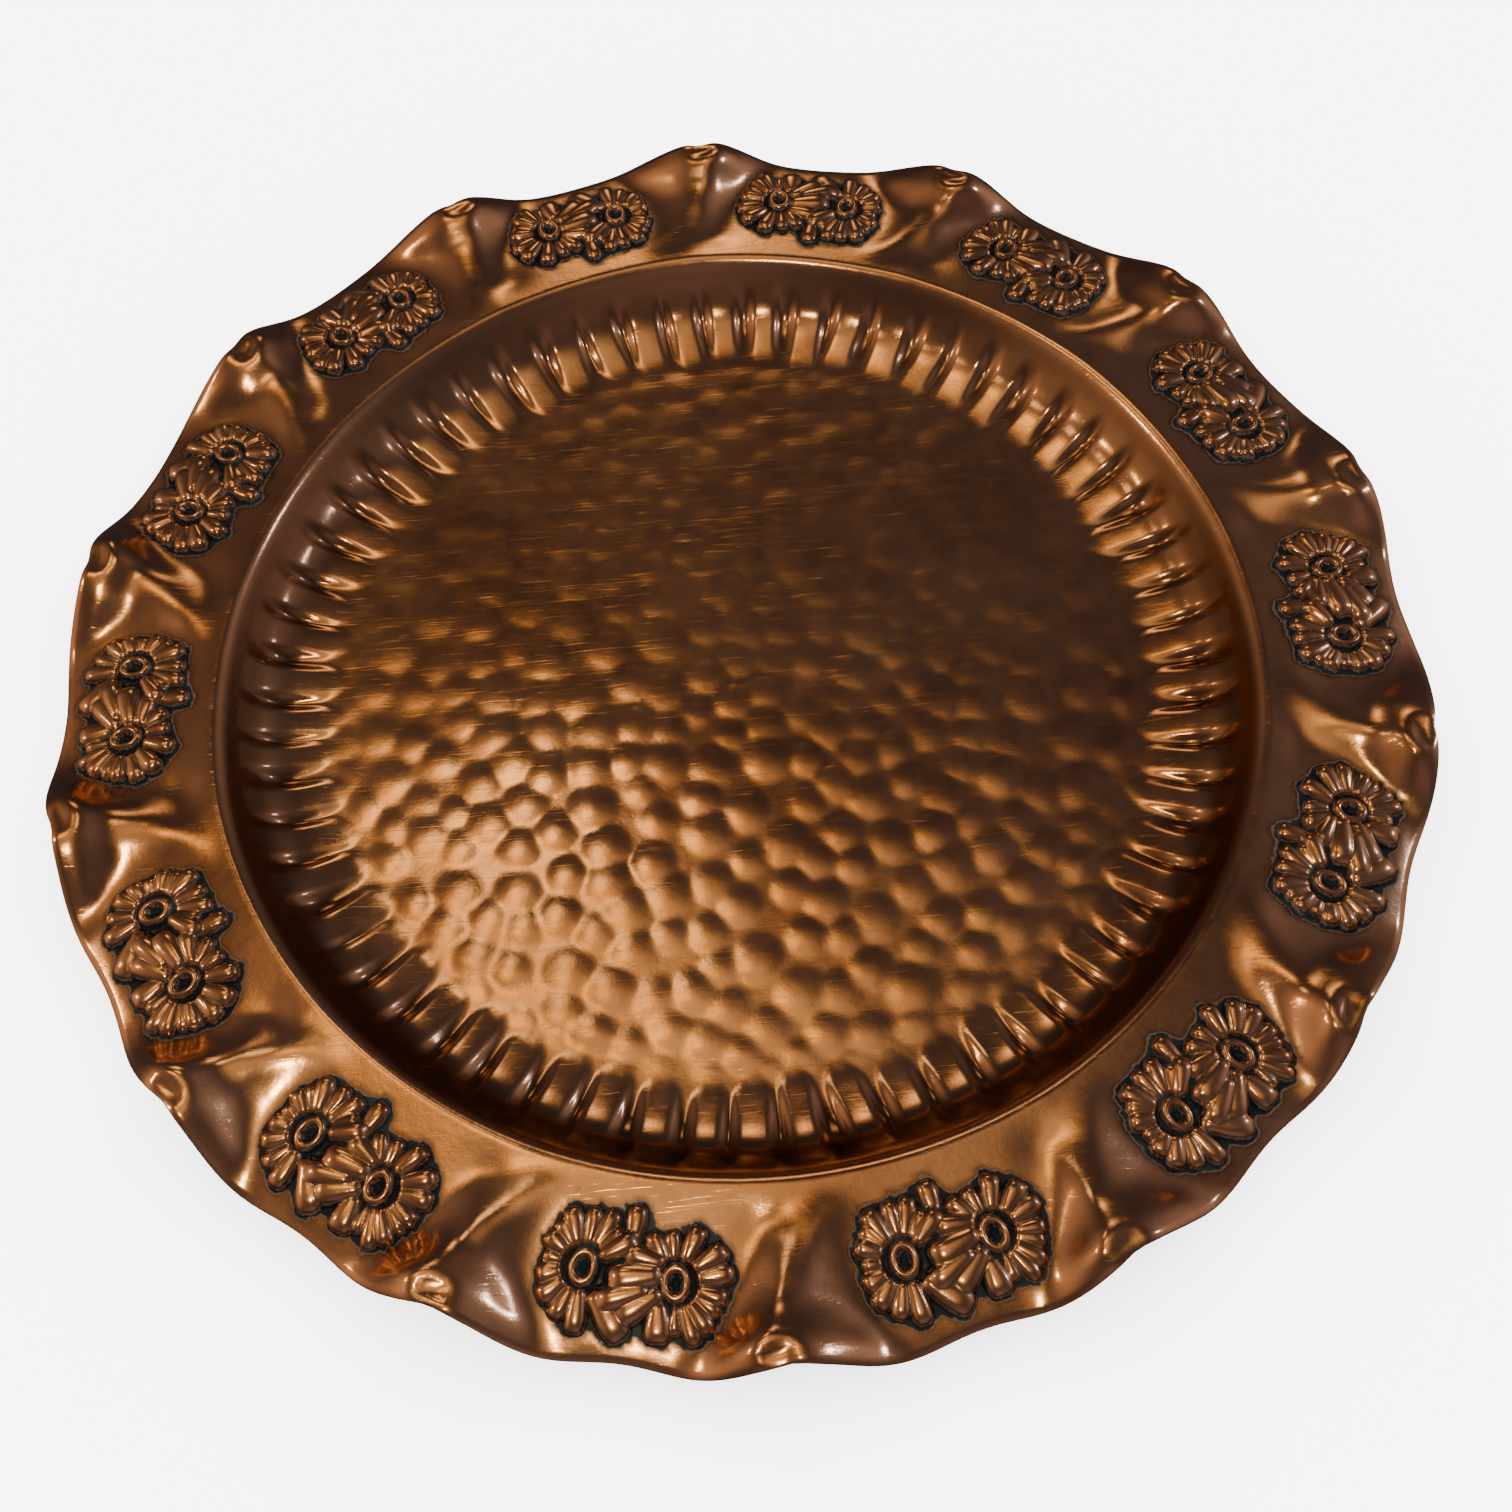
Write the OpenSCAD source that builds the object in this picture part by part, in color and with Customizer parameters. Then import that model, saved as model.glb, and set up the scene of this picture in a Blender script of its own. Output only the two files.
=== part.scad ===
// Hammered copper tray: a raised sheet with a fluted well and a ruffled rim,
// and a ring of struck two-flower sprays seated on flat panels of the rim.
// Origin: centre of the flat underside of the floor. +Z up, millimetres.

/* [Tray] */
// Mean diameter over the ruffled rim
rim_d = 356; // [352:1:366]
// Diameter of the lip around the mouth of the well
lip_d = 273; // [268:1:276]
// Diameter of the flat floor, inside the flutes
floor_d = 218; // [204:1:222]
// Height of the lip above the floor
well_depth = 16.4; // [12:0.2:24]
// Thickness of the sheet
sheet_t = 0.9; // [0.7:0.1:1.4]

/* [Flutes] */
// Number of ribs pressed into the bend between floor and wall
flutes = 62; // [50:2:70]
// How far a rib stands out of the bend
flute_rise = 1.8; // [0.5:0.1:2.4]

/* [Rim] */
// Number of lobes, and of sprays between them
lobes = 14; // [10:2:14]
// Radius of the circle through the middles of the sprays
spray_r = 159; // [158:0.5:161]
// Drop from the lip to the flat panel under a spray
panel_drop = 1.6; // [1:0.1:3]
// Outward fall of a panel, as height lost per length
panel_fall = 0.07; // [0:0.01:0.12]
// How far the edge of a lobe rises above its neighbouring panels
lobe_rise = 10; // [4:0.5:12]
// How far the edge dips beside a lobe
edge_dip = 1.2; // [0:0.1:2]
// Lean of the lobes clockwise, in degrees of one lobe's own turn
lobe_lean = 11; // [0:1:25]

/* [Sprays] */
// Thickness of the backing that joins the petals of a spray
backing_t = 1; // [0.6:0.1:1.4]
// Height of the highest leaf above the panel
relief = 3.9; // [2.5:0.1:4.5]

/* [Hidden] */
function two_digits(n) = str(n < 10 ? "0" : "", n);
function spray_name(n) = str("flower_spray_", two_digits(n));

copper = [0.62, 0.36, 0.22];
copper_bright = [0.74, 0.45, 0.28];

// Points around the sheet: three for each flute
flute_steps = 3;
steps = flutes * flute_steps;
lobe_angle = 360 / lobes;
panel_tilt = atan(panel_fall);

rim_r = rim_d / 2;
lip_r = lip_d / 2;
floor_r = floor_d / 2;
lip_z = sheet_t + well_depth;
panel_z = lip_z - panel_drop;

// Oval around each spray where the rim stays a true plane: its half width, its
// half depth and how far its middle sits inside the spray's middle
flat_half_x = 27;
flat_half_y = 18.6;
flat_shift = 1.1;
// The rim reaches its full ruffle over this much of the oval's size
flat_blend = 0.3;

// The rim is a little narrower behind the sprays than at the lobes' flanks
rim_waist = 1;

// Rings of the sheet from the floor to the lip: [radius, height, share of the rib]
bend_rings = [
    [floor_r, sheet_t, 0],
    [floor_r + 4, sheet_t + 0.02 * well_depth, 0.5],
    [floor_r + 10.5, sheet_t + 0.11 * well_depth, 1],
    [floor_r + 16.5, sheet_t + 0.28 * well_depth, 1],
    [floor_r + 20.5, sheet_t + 0.48 * well_depth, 0],
    [lip_r - 3, sheet_t + 0.82 * well_depth, 0],
    [lip_r, lip_z, 0]
];
// Rings of the rim, as shares of the way from the lip to the edge
rim_shares = [0.1, 0.3, 0.52, 0.74, 0.9, 1];
bend_count = len(bend_rings);
ring_count = bend_count + len(rim_shares);

function smooth(t) = let (c = min(1, max(0, t))) c * c * (3 - 2 * c);

// Angle from the nearest spray, which sit half a lobe from the +Y axis
function from_spray(a) = let (b = (90 - a) / lobe_angle) (b - floor(b) - 0.5) * lobe_angle;
// 1 on the crest of a lobe, falling to 0 in the middle of a spray
lobe_sharpness = 2.1;
function lobe_share(a) = pow((1 + cos(lobes * (90 - a) - lobe_lean)) / 2, lobe_sharpness);

function edge_r(a) = rim_r - rim_waist * cos(2 * lobes * (90 - a));
function ring_r(i, a) = i < bend_count
    ? bend_rings[i][0]
    : lip_r + (edge_r(a) - lip_r) * rim_shares[i - bend_count];

// Size of the oval through a point of the rim, where the flat one is 1
function oval_size(x, y) =
    sqrt(pow(x / flat_half_x, 2) + pow((y + flat_shift) / flat_half_y, 2));

// The rim is the sprays' own planes, ruffled up at the lobes and down beside them
function rim_z(r, a) =
    let (
        d = from_spray(a),
        x = r * sin(d),
        y = r * cos(d) - spray_r,
        outward = smooth((r - lip_r) / (rim_r - lip_r)),
        off_panel = smooth((oval_size(x, y) - 1) / flat_blend),
        lobe = lobe_share(a)
    )
    panel_z - panel_fall * y
        + outward * off_panel * (lobe_rise * lobe - edge_dip * (1 - lobe));

// Every third line of points is the crest of a rib
function rib(i, j) = i < bend_count && j % flute_steps == 0
    ? flute_rise * bend_rings[i][2]
    : 0;
function ring_z(i, j, a) = i < bend_count
    ? bend_rings[i][1] + rib(i, j)
    : rim_z(ring_r(i, a), a);

// Slope of the sheet at ring i: level at the floor and over the rim
function ring_slope(i) = i == 0 || i >= bend_count - 1
    ? 0
    : atan2(bend_rings[i + 1][1] - bend_rings[i - 1][1], bend_rings[i + 1][0] - bend_rings[i - 1][0]);

function sheet_point(i, j, under) =
    let (
        a = 360 * j / steps,
        slope = ring_slope(i),
        r = ring_r(i, a) + (under ? sheet_t * sin(slope) : 0),
        z = ring_z(i, j, a) - (under ? sheet_t * cos(slope) : 0)
    )
    [r * cos(a), r * sin(a), z];

function upper(i, j) = i * steps + j % steps;
function lower(i, j) = (ring_count + i) * steps + j % steps;

module tray_sheet() {
    points = concat(
        [for (i = [0:ring_count - 1], j = [0:steps - 1]) sheet_point(i, j, false)],
        [for (i = [0:ring_count - 1], j = [0:steps - 1]) sheet_point(i, j, true)]
    );
    last = ring_count - 1;
    faces = concat(
        [[for (j = [steps - 1:-1:0]) upper(0, j)]],
        [[for (j = [0:steps - 1]) lower(0, j)]],
        [for (i = [0:last - 1], j = [0:steps - 1])
            [upper(i, j), upper(i, j + 1), upper(i + 1, j)]],
        [for (i = [0:last - 1], j = [0:steps - 1])
            [upper(i, j + 1), upper(i + 1, j + 1), upper(i + 1, j)]],
        [for (i = [0:last - 1], j = [0:steps - 1])
            [lower(i, j), lower(i + 1, j), lower(i, j + 1)]],
        [for (i = [0:last - 1], j = [0:steps - 1])
            [lower(i, j + 1), lower(i + 1, j), lower(i + 1, j + 1)]],
        [for (j = [0:steps - 1]) [upper(last, j), upper(last, j + 1), lower(last, j)]],
        [for (j = [0:steps - 1]) [upper(last, j + 1), lower(last, j + 1), lower(last, j)]]
    );
    color(copper) polyhedron(points, faces, convexity = 6);
}

// A spray is drawn flat: x clockwise along the rim, y outwards, z off the panel.
// Middles of its two flowers
flower_a = [-9.2, 0];
flower_b = [11.6, -0.8];
// Petals of each flower: [direction, reach, width, height]
petals_a = [
    [98, 11.3, 2.2, 2.2], [117, 14.1, 3.6, 2.6], [135, 13.3, 3.6, 2.6],
    [170, 12.2, 4.2, 2.6], [197, 13.3, 3.8, 2.4], [221, 13.5, 4.4, 2.6],
    [254, 13.4, 4, 2.6], [287, 11.4, 3, 2.2], [307, 12.6, 3.8, 2.6]
];
petals_b = [
    [227, 12, 4, 2.6], [238, 14.1, 3.4, 2.2], [291, 13.7, 4.2, 2.6],
    [305, 11.5, 3, 2.4], [327, 11.2, 3.8, 2.6], [352, 8.8, 1.8, 2.2],
    [15, 10.8, 3.6, 2.6], [41, 12.2, 3.2, 2.6], [69, 12.9, 2.4, 2.2],
    [90, 14.4, 4, 2.4]
];
// Leaves that overlap between the flowers: [from, to, width, height]
leaves = [
    [[-6, 5], [-6.8, 13.3], 5, 2.6],
    [[9.4, 4.6], [0.6, 13.7], 5.2, 2.8],
    [[-5.2, 3], [3, 8], 4.2, 3.4],
    [[-1, 3.4], [6.6, 5.6], 4.6, relief],
    [[-4.6, -0.4], [3.4, 0.2], 5.2, relief],
    [[-6, -3.4], [0.4, -6.6], 3, 3],
    [[7.8, -1.4], [1.2, -6.4], 3.2, 3.6],
    [[1.6, -5], [1.6, -15.8], 3.8, 2]
];
// Where a flower's petals start, and the size of its eye
petal_start = 4.6;
eye_r = 3.7;
eye_hole_r = 1.7;
eye_h = 3.2;
backing_r = 8;
// Half of a petal's outline: [share of its length, share of its half width]
petal_outline = [[0, 0.5], [0.5, 1], [0.88, 0.8], [1, 0.25]];

// One petal from `from` to `to`, with its flat back on the panel
module petal(from, to, width, height) {
    along = to - from;
    left = [for (p = petal_outline) [p[0] * norm(along), p[1] * width / 2]];
    right = [for (i = [len(left) - 1:-1:0]) [left[i][0], -left[i][1]]];
    translate(from)
        rotate(atan2(along[1], along[0]))
            linear_extrude(height) polygon(concat(left, right));
}

module flower(middle, petals) {
    for (p = petals) {
        way = [cos(p[0]), sin(p[0])];
        petal(middle + petal_start * way, middle + p[1] * way, p[2], p[3]);
    }
    translate(middle) {
        cylinder(r = backing_r, h = backing_t, $fn = 48);
        difference() {
            cylinder(r = eye_r, h = eye_h, $fn = 48);
            translate([0, 0, backing_t]) cylinder(r = eye_hole_r, h = eye_h, $fn = 48);
        }
    }
}

// One spray, drawn flat with its back at z = 0
module spray() {
    flower(flower_a, petals_a);
    flower(flower_b, petals_b);
    translate([-8, -6, 0]) cube([18, 12, backing_t]);
    for (leaf = leaves) petal(leaf[0], leaf[1], leaf[2], leaf[3]);
}

// Spray n, counted clockwise from the +Y axis, seated on its panel
module flower_spray(n) {
    color(copper_bright)
        rotate([0, 0, 90 - (n - 0.5) * lobe_angle])
            translate([spray_r, 0, panel_z])
                rotate([0, panel_tilt, 0])
                    rotate([0, 0, -90])
                        spray();
}

tray_sheet();
for (n = [1:lobes])
    flower_spray(n);
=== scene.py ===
"""Looks of the hammered copper tray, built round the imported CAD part.

The CAD sheet and sprays are plain, so each is replaced by a finished mesh of the
same size in the same place: one hammered, fluted and ruffled sheet, and one
raised spray of two flowers that is placed 14 times. Shapes are worked out in
millimetres and handed to Blender in metres.
"""

import math

import bpy
import numpy as np
from mathutils import Matrix, Quaternion, Vector


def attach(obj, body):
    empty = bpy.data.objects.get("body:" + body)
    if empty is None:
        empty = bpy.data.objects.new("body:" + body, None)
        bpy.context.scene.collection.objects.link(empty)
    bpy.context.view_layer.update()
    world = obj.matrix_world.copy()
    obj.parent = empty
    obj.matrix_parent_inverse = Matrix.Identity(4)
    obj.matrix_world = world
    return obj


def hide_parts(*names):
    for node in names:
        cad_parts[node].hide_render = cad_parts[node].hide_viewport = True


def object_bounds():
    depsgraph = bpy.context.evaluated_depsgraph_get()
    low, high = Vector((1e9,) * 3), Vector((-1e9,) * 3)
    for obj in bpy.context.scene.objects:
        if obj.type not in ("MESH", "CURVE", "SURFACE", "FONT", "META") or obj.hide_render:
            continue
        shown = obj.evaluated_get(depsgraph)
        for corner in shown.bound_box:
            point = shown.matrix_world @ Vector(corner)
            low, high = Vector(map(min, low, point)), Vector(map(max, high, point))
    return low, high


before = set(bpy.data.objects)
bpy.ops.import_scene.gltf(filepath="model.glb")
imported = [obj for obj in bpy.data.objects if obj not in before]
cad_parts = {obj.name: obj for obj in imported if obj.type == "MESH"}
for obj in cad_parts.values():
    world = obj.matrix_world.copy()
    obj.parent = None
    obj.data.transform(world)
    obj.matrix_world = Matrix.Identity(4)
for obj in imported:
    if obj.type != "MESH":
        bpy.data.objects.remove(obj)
cad_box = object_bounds()

MM = 0.001
random = np.random.default_rng(14)

# ---------------------------------------------------------------- sizes, in mm
# The same driving sizes as the CAD part
LOBES = sum(name.startswith("flower_spray_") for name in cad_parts)
LOBE_ANGLE = 360 / LOBES
SHEET_T = 0.9
RIM_R = 178
RIM_WAIST = 1
LIP_R = 136.5
FLOOR_R = 109
SPRAY_R = 159
PANEL_Z = 15.7
PANEL_FALL = 0.07
LOBE_RISE = 10
EDGE_DIP = 1.2

# A pair named ..._STRETCH says where something sets in, and over how much it reaches
# its full effect: along the radius, unless its comment says along what

# The crest of a lobe wanders on its way out from the circle of the sprays, as
# [out from that circle, clockwise along the rim]; inside the circle it runs straight
LOBE_CREST = [(-2, -1), (5, 4), (11, 4.8), (15, 3.2), (19, 2.4), (22, 2.4)]
CREST_BLUR = 1.6
# Higher makes the lobes narrower
LOBE_SHARPNESS = 2.1
# Higher keeps the ruffle nearer to the edge
RUFFLE_POWER = 2.1
# The flat oval under each spray: half its size, how far it sits inside the spray's
# middle, and the share of its size over which the ruffle sets in
FLAT_HALF = (20, 14.5)
FLAT_SHIFT = 1.1
FLAT_BLEND = 0.7

# Folds that run over each lobe, as [points, height, half width] in the lobe's
# own frame: x clockwise along the rim from the lobe's middle, y outwards from
# the circle of the sprays
FOLDS = [
    ([(13, 12), (9, 4), (3, -2), (-4, -8), (-8, -16)], 1.2, 7),
    ([(-13, 13), (-5, 11.5), (4, 10.5), (10, 12.5), (14, 12)], 0.7, 3.6),
    ([(-4, 3), (2, 5)], -0.7, 5),
    ([(12, -6), (7, -14)], -0.7, 6),
    ([(3.6, 14.6), (6, 14.8)], -1.2, 2.6),
]
FOLD_STRETCH = (LIP_R + 1, 12)
# How far one lobe's folds may lie from another's, and by what share they differ
FOLD_DRIFT = (1.0, 0.8)
FOLD_VARIETY = 0.25
# Small notch in the edge, clockwise of each lobe's middle
PINCH_AT = 3.5
PINCH_DEPTH = 0.7
PINCH_WIDTH = 3.4
# Hand-made unevenness of the rim: height, and lengths of its waves in x and y
HAND_HEIGHT = 0.12
HAND_LENGTHS = (23, 19)
HAND_STRETCH = (LIP_R, 20)

# Planishing marks on the floor: low bumps on flat ground. A mark's curve is the
# radius of its top, as of a ball.
MARK_PITCH = 8.9
MARK_TRIES = 9000
MARK_CURVE = 36
MARK_CURVE_RANGE = (0.8, 1.3)
MARK_HEIGHT = 0.52
MARK_HEIGHT_RANGE = (0.75, 1.25)
MARK_EDGE_BLEND = 0.06
MARKS_R = FLOOR_R + 6
# The marks get up to 1 + MARK_FADE times shallower toward +Y, over this stretch of y
MARK_FADE = 1.1
MARK_FADE_STRETCH = (-40, 100)
# Where the marks die out at the foot of the ribs
FLOOR_END_STRETCH = (103, 9)

# Ribs between floor and wall. Their widths are shares of half the pitch.
RIBS = 62
RIB_PITCH = 360 / RIBS
RIB_CROWN = 0.15
RIB_HALF_WIDTH = 0.74
RIB_SIDE = 0.38
# Where a rib begins, and its width there as a share of its full width
RIB_TIP_STRETCH = (109.5, 5)
RIB_TIP_WIDTH = 0.45
RIB_MIDDLE_R = 120
RIB_SHIFT_STRETCH = (112, 14)
# How much the ribs differ: sideways (in pitches), slant (degrees per mm), width,
# place of the inner end (mm) and height
RIB_TURN = 0.09
RIB_SLANT = 0.035
RIB_WIDTH_VARIETY = 0.08
RIB_INNER_RANGE = (-1.6, 1.2)
RIB_HIGH_RANGE = (0.8, 1.12)
# [radius, height] along the top of a rib and along the bottom of a gap
RIB_TOP = [
    (0, 0.9), (108, 0.9), (111.5, 1.2), (114.5, 1.8), (118, 2.7), (121.5, 3.7),
    (124.5, 4.9), (127, 6.4), (129.2, 8.3), (131, 10.4), (132, 11.6),
]
GAP_BOTTOM = [
    (0, 0.9), (109, 0.9), (113, 1.1), (117, 1.35), (121, 1.75), (124.5, 2.8),
    (127, 4.4), (129.2, 6.8), (131, 10), (132, 11.5),
]
RIB_TOP_BLUR = 1.1
GAP_BOTTOM_BLUR = 1.0

# The straight wall: [radius, height] of its foot, its slope, and how far outside
# its foot it takes over from the ribs
WALL_FOOT = (130.8, 9.8)
WALL_SLOPE = 1.4
WALL_START = 1.15
# The lip is where the wall meets the rim: the height over which it is rounded, and
# how far inside the lip the rim still counts
LIP_BLEND = 2.8
LIP_REACH = 12
# The lip isn't a true circle: [waves in a round, turn in degrees, height]
LIP_WAVES = [(3, 40, 0.25), (7, 0, 0.18)]
LIP_WAVE_STRETCH = (128, 6)

# Mesh of the sheet: points round the edge of the upper face, twice the lower's;
# [up to this radius, spacing of the rings]; rings from there to the edge; spacing
# of the points on a ring
EDGE_POINTS = 768
TOP_RINGS = [(108, 1.3), (132, 1.15), (139, 0.7)]
TOP_RIM_RINGS = 23
TOP_STEP = 1.4
LOW_RINGS = [(108, 2.6), (139, 2.1)]
LOW_RIM_RINGS = 16
LOW_STEP = 3.0
# A ring has half as many points as the next one where they would come closer than
# this share of the spacing, down to the fewest
CLOSEST_SHARE = 0.62
FEWEST_POINTS = 24
# The cut edge is rounded by two rings that stand out by this much, at these shares
# of the way from the upper face to the lower
EDGE_ROUND = 0.25
EDGE_RINGS = (0.3, 0.7)

# A spray is drawn flat: x clockwise along the rim, y outwards, z off the panel.
# Its two flowers, as [middle, turn of the eyelet in radians, petals], where a petal
# is [direction, reach, width, height]
FLOWERS = [
    ((-9.2, 0), 0.15, [
        (98, 11.3, 3.0, 2.2), (117, 14.1, 4.4, 2.7), (135, 13.3, 4.4, 2.8),
        (153, 12.0, 3.4, 2.4), (171, 12.2, 4.4, 2.8), (197, 13.3, 5.0, 2.6),
        (221, 13.5, 5.4, 2.8), (254, 13.4, 5.0, 2.8), (283, 11.6, 4.0, 2.4),
        (307, 12.6, 4.6, 2.8),
    ]),
    ((11.6, -0.8), -0.1, [
        (227, 12, 4.8, 2.8), (247, 14.1, 4.6, 2.4), (268, 13.4, 4.2, 2.5),
        (291, 13.7, 5.0, 2.8), (309, 11.8, 3.8, 2.5), (328, 11.4, 4.8, 2.8),
        (352, 9.6, 3.6, 2.4), (15, 10.8, 4.8, 2.8), (41, 12.2, 5.0, 2.8),
        (66, 12.9, 4.4, 2.5), (90, 14.4, 5.0, 2.6),
    ]),
]
# Leaves between the flowers: [from, to, width, height]
LEAVES = [
    ((-6, 4.6), (-7.0, 13.3), 6.4, 2.8), ((8.6, 4.4), (0.4, 13.4), 6.6, 3.0),
    ((-6.0, 2.4), (3.4, 9.4), 6.4, 3.4), ((-3.2, 2.2), (8.2, 6.4), 6.2, 3.9),
    ((-5.6, -1.2), (6.4, 1.4), 7.4, 4.0), ((-6, -3.6), (3.4, -5.2), 5.4, 3.5),
    ((8.0, -3.2), (0.2, -8.6), 5.4, 3.6), ((1.6, -7.0), (1.6, -15.8), 5.0, 2.3),
]
PETAL_START = 4.9
# A petal's outline, in shares of its length: where it is widest, its width at the
# base, and where its round base ends and over how much
PETAL_WIDEST = 0.6
PETAL_BASE_WIDTH = 0.7
PETAL_BASE = (0.12, 0.2)
# Roundness of the tip, the sides and the base: 2 is an ellipse, more is squarer
TIP_POWER = 2.6
SIDE_POWER = 3.4
BASE_POWER = 2
# Lower makes the sides of a petal steeper
WALL_POWER = 0.36
PLUMP = 1.06
# Doming of a petal's top, its length as a share of the petal's, and its sideways roll
CROWN = 0.2
CROWN_LENGTH = 0.8
PETAL_ROLL = 0.13
# Eyelet: half sizes of its oval, the hole as a share of it, the height of its tube
# and of the dish in its hole, and the roundness of the tube
EYE_OUTER = (3.5, 4.6)
EYE_HOLE = 0.4
EYE_H = 3.1
EYE_FLOOR = 0.6
EYE_DISH = 1.6
TUBE_POWERS = (3, 0.4)
# Plate behind the petals: a disc behind each flower and an oval between them, as
# [middle, half its height, height over length]
BACKING_R = 9.6
BACKING_H = 0.75
BACKING_EDGE = 0.6
BRIDGE = ((1, 2), 7, 0.7)
# The spray's field of heights, and its smoothing
SPRAY_X = (-25, 26)
SPRAY_Y = (-19, 17)
SPRAY_STEP = 0.33
SPRAY_BLUR = 0.28
# Heights off the panel, inside the sheet: the lowest that the field goes, and the
# flat back. The mesh ends where the field is within SPRAY_BORDER of its lowest.
SPRAY_SEAT = -0.35
SPRAY_BORDER = 0.02
SPRAY_FOOT = -0.45

# Tarnish on a spray in crevices, as [reach, depth where it starts, over how much], painted
# shade on its steep sides, along the slope, and tarnish near the panel, along the height
CREVICES = [(1.2, 0, 0.6), (0.6, 0.02, 0.2)]
STEEP_STRETCH = (0.7, 1.1)
STEEP_SIDE_SHADE = 0.5
FOOT_STRETCH = (0.2, 0.8)
# Tarnish on the sheet round a spray
HALO_X = (-32, 32)
HALO_Y = (-26, 24)
HALO_STEP = 0.5
HALO_REACH = 1.8
HALO_GAIN = 2.6
# Painted shade in the well: in the gaps between ribs and on the wall, each with where
# it sets in and where it dies out. It is weaker toward +Y, along y.
GAP_IN_STRETCH = (114, 6)
GAP_OUT_STRETCH = (128, 4)
GAP_SHARE = 0.9
WALL_IN_STRETCH = (122, 8)
WALL_OUT_STRETCH = (134, 3)
FAR_STRETCH = (0, 120)
FAR_SHARE = 0.5
PLANISHED_STRETCH = (104, 12)


# ---------------------------------------------------------------- small maths
def smooth(t):
    c = np.clip(t, 0, 1)
    return c * c * (3 - 2 * c)


def along(value, stretch):
    """0 before a stretch, 1 after it and a smooth rise between."""
    start, over = stretch
    return smooth((value - start) / over)


def soft_min(a, b, k):
    """The lower of a and b, rounded over a height of k where they cross."""
    h = np.clip(0.5 + 0.5 * (b - a) / k, 0, 1)
    return b + (a - b) * h - k * h * (1 - h)


def to_stroke(x, y, points):
    """Distance from each (x, y) to a line through points."""
    best = np.full(np.shape(x), np.inf)
    for (ax, ay), (bx, by) in zip(points[:-1], points[1:]):
        dx, dy = bx - ax, by - ay
        t = np.clip(((x - ax) * dx + (y - ay) * dy) / (dx * dx + dy * dy), 0, 1)
        best = np.minimum(best, np.hypot(x - ax - t * dx, y - ay - t * dy))
    return best


PROFILE_STEP = 0.25
PROFILE_REACH = 12


def rounded_profile(points, blur):
    """A fine table, from 0 to just past the rim, of the line through points with its corners rounded."""
    r = np.arange(0, RIM_R + 2, PROFILE_STEP)
    z = np.interp(r, *zip(*points))
    reach = np.arange(-PROFILE_REACH, PROFILE_REACH + 1) * PROFILE_STEP
    kernel = np.exp(-((reach / blur) ** 2))
    z = np.convolve(np.pad(z, PROFILE_REACH, mode="edge"), kernel / kernel.sum(), mode="valid")
    return r, z


# ---------------------------------------------------------------- the rim
def from_middle(a, offset):
    """Angle clockwise from the nearest lobe (offset 0) or spray (offset 0.5)."""
    turns = (90 - a) / LOBE_ANGLE - offset
    return (turns - np.round(turns)) * LOBE_ANGLE


def edge_radius(a):
    """Radius of the edge: widest on the flanks of a lobe, with a notch near its middle."""
    clockwise = np.radians(from_middle(a, 0)) * RIM_R
    pinch = PINCH_DEPTH * np.exp(-(((clockwise - PINCH_AT) / PINCH_WIDTH) ** 2))
    return RIM_R - RIM_WAIST * np.cos(np.radians(2 * LOBES * (90 - a))) - pinch


def spray_place(r, a):
    """x clockwise and y outwards from the middle of the nearest spray."""
    d = np.radians(from_middle(a, 0.5))
    return r * np.sin(d), r * np.cos(d) - SPRAY_R


def off_panel(r, a):
    """0 on the flat panel under a spray, 1 on the ruffled rim."""
    x, y = spray_place(r, a)
    oval = np.hypot(x / FLAT_HALF[0], (y + FLAT_SHIFT) / FLAT_HALF[1])
    return smooth((oval - 1) / FLAT_BLEND)


lobe_vary = random.uniform(-1, 1, (LOBES, 4))


def fold_height(r, a):
    """Height of the folds on the nearest lobe, which differ a little from lobe to lobe."""
    d = np.radians(from_middle(a, 0))
    which = np.round((90 - a) / LOBE_ANGLE).astype(int) % LOBES
    vary = lobe_vary[which]
    x = r * np.sin(d) + FOLD_DRIFT[0] * vary[..., 0]
    y = r * np.cos(d) - SPRAY_R + FOLD_DRIFT[1] * vary[..., 1]
    z = np.zeros(np.shape(r))
    for n, (points, height, width) in enumerate(FOLDS):
        strength = 1 + FOLD_VARIETY * vary[..., 2 + n % 2]
        z += strength * height * np.exp(-((to_stroke(x, y, points) / width) ** 2))
    return z


crest_y, crest_x = rounded_profile(LOBE_CREST, CREST_BLUR)


def rim_height(r, a):
    """The panels' falling planes, with the lobes and their folds between them."""
    _, y = spray_place(r, a)
    outward = smooth((r - LIP_R) / (RIM_R - LIP_R)) ** RUFFLE_POWER
    crest = np.degrees(np.interp(r - SPRAY_R, crest_y, crest_x) / r)
    lobe = ((1 + np.cos(np.radians(LOBES * (90 - a - crest)))) / 2) ** LOBE_SHARPNESS
    ruffle = outward * (LOBE_RISE * lobe - EDGE_DIP * (1 - lobe))
    folds = along(r, FOLD_STRETCH) * fold_height(r, a)
    return PANEL_Z - PANEL_FALL * y + off_panel(r, a) * (ruffle + folds)


# ---------------------------------------------------------------- the well
def hammer_marks():
    """Middles of the marks, scattered but never closer together than a pitch."""
    tries = random.uniform(-MARKS_R, MARKS_R, (MARK_TRIES, 2))
    middles = np.empty((0, 2))
    for point in tries[np.hypot(*tries.T) < MARKS_R]:
        if len(middles) == 0 or np.min(np.hypot(*(middles - point).T)) > MARK_PITCH:
            middles = np.vstack([middles, point])
    return middles


marks = hammer_marks()
mark_shallowness = 1 + MARK_FADE * along(marks[:, 1], MARK_FADE_STRETCH)
mark_curves = MARK_CURVE * random.uniform(*MARK_CURVE_RANGE, len(marks)) * mark_shallowness
mark_heights = MARK_HEIGHT * random.uniform(*MARK_HEIGHT_RANGE, len(marks)) / mark_shallowness


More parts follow.
